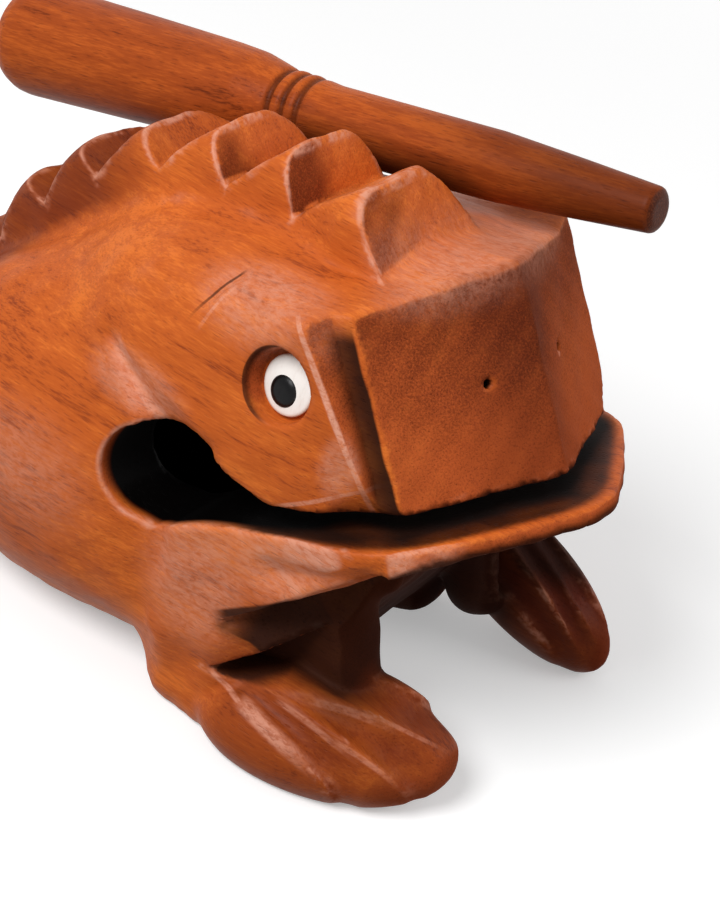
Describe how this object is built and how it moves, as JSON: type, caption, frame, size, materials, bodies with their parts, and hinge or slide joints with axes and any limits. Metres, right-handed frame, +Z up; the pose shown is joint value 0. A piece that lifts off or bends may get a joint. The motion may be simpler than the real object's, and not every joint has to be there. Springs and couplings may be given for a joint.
{
  "type": "frog guiro",
  "caption": "Hollow carved wooden frog with a toothed back, a mouth slot and a throat bore, played by drawing a turned stick along the teeth.",
  "frame": {"origin": "on the flat seat under the belly, in the frog's middle plane", "axes": "+Z up, the frog faces -Y, its right side is at -X"},
  "size_m": [0.112, 0.2065, 0.1393],
  "materials": {
    "varnished_wood": "satin varnish",
    "stick_wood": "satin varnish",
    "eye_white": "gloss paint",
    "eye_black": "gloss paint"
  },
  "bodies": {
    "frog": {"frog_body": "varnished_wood", "right_eye_white": "eye_white", "left_eye_white": "eye_white", "right_pupil": "eye_black", "left_pupil": "eye_black"},
    "stick": {"scraper_stick": "stick_wood"}
  },
  "joints": [
    {"name": "scrape_stroke", "type": "hinge", "parent": "frog", "child": "stick", "pos_m": [0, -0.0307, 0.0189], "axis": [-1, 0, 0], "range_deg": [-5, 22]}
  ]
}
